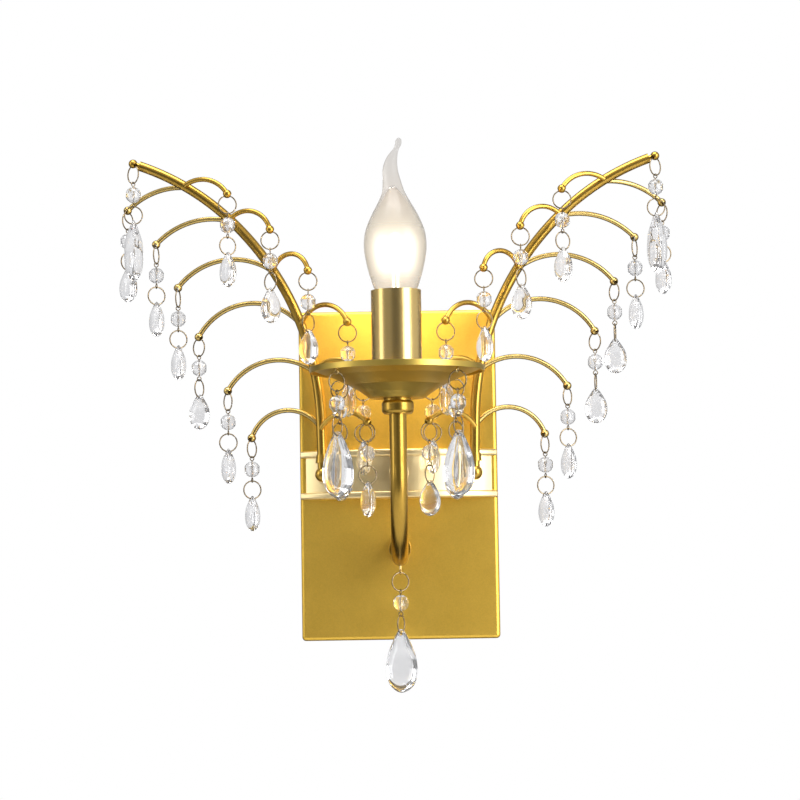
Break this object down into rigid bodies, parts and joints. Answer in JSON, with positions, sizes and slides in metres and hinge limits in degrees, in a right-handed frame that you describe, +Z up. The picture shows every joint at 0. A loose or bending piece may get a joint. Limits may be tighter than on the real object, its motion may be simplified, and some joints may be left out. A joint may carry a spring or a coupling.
{
  "type": "crystal wall sconce",
  "caption": "Wall sconce with a rectangular plate, two branching wings hung with crystal drops, and one flame lamp on a curved arm above a dish.",
  "frame": {"origin": "Centre of the wall plate's back, on the wall: the wall_face mount. x = 0 is the object's middle and z = 0 is the plate's mid height.", "axes": "X to the right, Y into the wall, Z up. The front of the object looks along -Y."},
  "size_m": [0.3391, 0.1583, 0.3244],
  "materials": {
    "satin_gold": "satin gold lacquer",
    "plate_gold": "fine sandy satin gold",
    "polished_brass": "polished",
    "zinc_steel": "zinc plated",
    "ground_green": "green dyed",
    "white_plastic": "matte white",
    "black_plastic": "matte black",
    "lamp_glass": "clear glass, lit",
    "crystal": "cut clear crystal with thin chromed wire"
  },
  "bodies": {
    "fixture": {"wall_bracket": "zinc_steel", "mounting_stud": "zinc_steel", "ground_screw": "ground_green", "backplate": "plate_gold", "bowed_band": "plate_gold", "cap_nut": "polished_brass", "stem_seats": "satin_gold", "stem_screws": "zinc_steel", "left_stem": "satin_gold", "right_stem": "satin_gold", "left_outer_branches": "satin_gold", "left_inner_branches": "satin_gold", "right_outer_branches": "satin_gold", "right_inner_branches": "satin_gold", "arm_tube": "satin_gold", "arm_escutcheon": "satin_gold", "lock_nuts": "zinc_steel", "strand_eyelets": "polished_brass", "collar": "satin_gold", "dish": "satin_gold", "candle_sleeve": "satin_gold", "socket_body": "white_plastic", "socket_shell": "polished_brass", "lead_wires": "white_plastic", "wire_connectors": "black_plastic"},
    "bulb": {"bulb_glass": "lamp_glass", "bulb_cap": "polished_brass", "bulb_filament": "white_plastic"},
    "left_tip_strand": {"left_tip_strand": "crystal"},
    "left_outer_strand_1": {"left_outer_strand_1": "crystal"},
    "left_inner_strand_1": {"left_inner_strand_1": "crystal"},
    "left_outer_strand_2": {"left_outer_strand_2": "crystal"},
    "left_inner_strand_2": {"left_inner_strand_2": "crystal"},
    "left_outer_strand_3": {"left_outer_strand_3": "crystal"},
    "left_inner_strand_3": {"left_inner_strand_3": "crystal"},
    "left_outer_strand_4": {"left_outer_strand_4": "crystal"},
    "left_inner_strand_4": {"left_inner_strand_4": "crystal"},
    "left_outer_strand_5": {"left_outer_strand_5": "crystal"},
    "left_inner_strand_5": {"left_inner_strand_5": "crystal"},
    "left_outer_strand_6": {"left_outer_strand_6": "crystal"},
    "left_inner_strand_6": {"left_inner_strand_6": "crystal"},
    "right_tip_strand": {"right_tip_strand": "crystal"},
    "right_outer_strand_1": {"right_outer_strand_1": "crystal"},
    "right_inner_strand_1": {"right_inner_strand_1": "crystal"},
    "right_outer_strand_2": {"right_outer_strand_2": "crystal"},
    "right_inner_strand_2": {"right_inner_strand_2": "crystal"},
    "right_outer_strand_3": {"right_outer_strand_3": "crystal"},
    "right_inner_strand_3": {"right_inner_strand_3": "crystal"},
    "right_outer_strand_4": {"right_outer_strand_4": "crystal"},
    "right_inner_strand_4": {"right_inner_strand_4": "crystal"},
    "right_outer_strand_5": {"right_outer_strand_5": "crystal"},
    "right_inner_strand_5": {"right_inner_strand_5": "crystal"},
    "right_outer_strand_6": {"right_outer_strand_6": "crystal"},
    "right_inner_strand_6": {"right_inner_strand_6": "crystal"},
    "dish_strand_1": {"dish_strand_1": "crystal"},
    "dish_strand_2": {"dish_strand_2": "crystal"},
    "dish_strand_3": {"dish_strand_3": "crystal"},
    "dish_strand_4": {"dish_strand_4": "crystal"},
    "finial_strand": {"finial_strand": "crystal"}
  },
  "joints": [
    {"name": "bulb_lift", "type": "slide", "parent": "fixture", "child": "bulb", "axis": [0, 0, 1], "range_m": [0, 0.05]},
    {"name": "left_tip_swing", "type": "hinge", "parent": "fixture", "child": "left_tip_strand", "pos_m": [-0.15869, -0.03528, 0.18963], "axis": [1, 0, 0], "range_deg": [-6, 1]},
    {"name": "left_outer_swing_1", "type": "hinge", "parent": "fixture", "child": "left_outer_strand_1", "pos_m": [-0.1639, -0.01892, 0.16348], "axis": [1, 0, 0], "range_deg": [-3, 8]},
    {"name": "left_inner_swing_1", "type": "hinge", "parent": "fixture", "child": "left_inner_strand_1", "pos_m": [-0.10064, -0.05, 0.16805], "axis": [1, 0, 0], "range_deg": [-12, 10]},
    {"name": "left_outer_swing_2", "type": "hinge", "parent": "fixture", "child": "left_outer_strand_2", "pos_m": [-0.14636, -0.022, 0.14182], "axis": [1, 0, 0], "range_deg": [-7, 7]},
    {"name": "left_inner_swing_2", "type": "hinge", "parent": "fixture", "child": "left_inner_strand_2", "pos_m": [-0.07523, -0.05, 0.14605], "axis": [1, 0, 0], "range_deg": [-12, 8]},
    {"name": "left_outer_swing_3", "type": "hinge", "parent": "fixture", "child": "left_outer_strand_3", "pos_m": [-0.13325, -0.022, 0.11492], "axis": [1, 0, 0], "range_deg": [-7, 7]},
    {"name": "left_inner_swing_3", "type": "hinge", "parent": "fixture", "child": "left_inner_strand_3", "pos_m": [-0.05261, -0.0535, 0.12051], "axis": [1, 0, 0], "range_deg": [-10, 5]},
    {"name": "left_outer_swing_4", "type": "hinge", "parent": "fixture", "child": "left_outer_strand_4", "pos_m": [-0.12079, -0.022, 0.08463], "axis": [1, 0, 0], "range_deg": [-7, 7]},
    {"name": "left_inner_swing_4", "type": "hinge", "parent": "fixture", "child": "left_inner_strand_4", "pos_m": [-0.02917, -0.06225, 0.08819], "axis": [1, 0, 0], "range_deg": [-2, 1]},
    {"name": "left_outer_swing_5", "type": "hinge", "parent": "fixture", "child": "left_outer_strand_5", "pos_m": [-0.10342, -0.022, 0.0513], "axis": [1, 0, 0], "range_deg": [-7, 7]},
    {"name": "left_inner_swing_5", "type": "hinge", "parent": "fixture", "child": "left_inner_strand_5", "pos_m": [-0.02065, -0.0475, 0.05418], "axis": [1, 0, 0], "range_deg": [-2, 1]},
    {"name": "left_outer_swing_6", "type": "hinge", "parent": "fixture", "child": "left_outer_strand_6", "pos_m": [-0.08916, -0.022, 0.02237], "axis": [1, 0, 0], "range_deg": [-7, 7]},
    {"name": "left_inner_swing_6", "type": "hinge", "parent": "fixture", "child": "left_inner_strand_6", "pos_m": [-0.01836, -0.06, 0.0288], "axis": [1, 0, 0], "range_deg": [-8, 0.5]},
    {"name": "right_tip_swing", "type": "hinge", "parent": "fixture", "child": "right_tip_strand", "pos_m": [0.15869, -0.03528, 0.18963], "axis": [1, 0, 0], "range_deg": [-6, 1]},
    {"name": "right_outer_swing_1", "type": "hinge", "parent": "fixture", "child": "right_outer_strand_1", "pos_m": [0.1639, -0.01892, 0.16348], "axis": [1, 0, 0], "range_deg": [-3, 8]},
    {"name": "right_inner_swing_1", "type": "hinge", "parent": "fixture", "child": "right_inner_strand_1", "pos_m": [0.10064, -0.05, 0.16805], "axis": [1, 0, 0], "range_deg": [-12, 10]},
    {"name": "right_outer_swing_2", "type": "hinge", "parent": "fixture", "child": "right_outer_strand_2", "pos_m": [0.14636, -0.022, 0.14182], "axis": [1, 0, 0], "range_deg": [-7, 7]},
    {"name": "right_inner_swing_2", "type": "hinge", "parent": "fixture", "child": "right_inner_strand_2", "pos_m": [0.07523, -0.05, 0.14605], "axis": [1, 0, 0], "range_deg": [-12, 8]},
    {"name": "right_outer_swing_3", "type": "hinge", "parent": "fixture", "child": "right_outer_strand_3", "pos_m": [0.13325, -0.022, 0.11492], "axis": [1, 0, 0], "range_deg": [-7, 7]},
    {"name": "right_inner_swing_3", "type": "hinge", "parent": "fixture", "child": "right_inner_strand_3", "pos_m": [0.05261, -0.0535, 0.12051], "axis": [1, 0, 0], "range_deg": [-10, 5]},
    {"name": "right_outer_swing_4", "type": "hinge", "parent": "fixture", "child": "right_outer_strand_4", "pos_m": [0.12079, -0.022, 0.08463], "axis": [1, 0, 0], "range_deg": [-7, 7]},
    {"name": "right_inner_swing_4", "type": "hinge", "parent": "fixture", "child": "right_inner_strand_4", "pos_m": [0.02917, -0.06225, 0.08819], "axis": [1, 0, 0], "range_deg": [-2, 1]},
    {"name": "right_outer_swing_5", "type": "hinge", "parent": "fixture", "child": "right_outer_strand_5", "pos_m": [0.10342, -0.022, 0.0513], "axis": [1, 0, 0], "range_deg": [-7, 7]},
    {"name": "right_inner_swing_5", "type": "hinge", "parent": "fixture", "child": "right_inner_strand_5", "pos_m": [0.02065, -0.0475, 0.05418], "axis": [1, 0, 0], "range_deg": [-2, 1]},
    {"name": "right_outer_swing_6", "type": "hinge", "parent": "fixture", "child": "right_outer_strand_6", "pos_m": [0.08916, -0.022, 0.02237], "axis": [1, 0, 0], "range_deg": [-7, 7]},
    {"name": "right_inner_swing_6", "type": "hinge", "parent": "fixture", "child": "right_inner_strand_6", "pos_m": [0.01836, -0.06, 0.0288], "axis": [1, 0, 0], "range_deg": [-8, 0.5]},
    {"name": "dish_swing_1", "type": "hinge", "parent": "fixture", "child": "dish_strand_1", "pos_m": [0.03398, -0.07846, 0.05312], "axis": [1, 0, 0], "range_deg": [-8, 8]},
    {"name": "dish_swing_2", "type": "hinge", "parent": "fixture", "child": "dish_strand_2", "pos_m": [-0.03398, -0.07846, 0.05312], "axis": [1, 0, 0], "range_deg": [-8, 8]},
    {"name": "dish_swing_3", "type": "hinge", "parent": "fixture", "child": "dish_strand_3", "pos_m": [-0.03398, -0.13753, 0.05312], "axis": [1, 0, 0], "range_deg": [-8, 8]},
    {"name": "dish_swing_4", "type": "hinge", "parent": "fixture", "child": "dish_strand_4", "pos_m": [0.03398, -0.13753, 0.05312], "axis": [1, 0, 0], "range_deg": [-8, 8]},
    {"name": "finial_swing", "type": "hinge", "parent": "fixture", "child": "finial_strand", "pos_m": [0, -0.058, -0.05962], "axis": [1, 0, 0], "range_deg": [-15, 15]}
  ]
}
